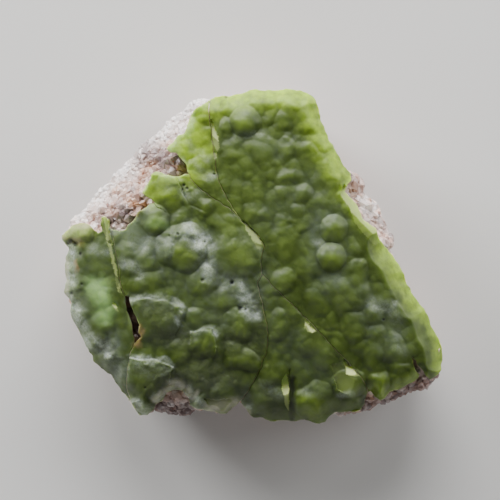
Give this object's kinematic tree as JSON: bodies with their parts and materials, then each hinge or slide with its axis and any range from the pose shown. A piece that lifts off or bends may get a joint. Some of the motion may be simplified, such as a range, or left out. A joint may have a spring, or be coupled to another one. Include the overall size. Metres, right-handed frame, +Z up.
{
  "type": "mineral specimen",
  "caption": "Slab of granular quartz rock topped by a cracked, botryoidal crust of waxy green phosphohedyphane, lying on its flat broken back as a display specimen",
  "frame": {"origin": "On the flat broken back that the specimen rests on, in the middle of its outline", "axes": "+Z is up and out of the crust, towards the viewer; +Y is the top of the picture and +X its right, along the specimen's greatest width"},
  "size_m": [0.0762, 0.0668, 0.029],
  "materials": {
    "quartz": "granular quartz rock, pinkish white to grey with brown iron stains",
    "crust": "waxy translucent yellow-green to olive, frosted with grey-white in places"
  },
  "bodies": {
    "root": {"matrix": "quartz", "crust_left": "crust", "crust_centre": "crust", "crust_wedge": "crust", "crust_right": "crust", "crust_bottom": "crust"}
  },
  "joints": []
}
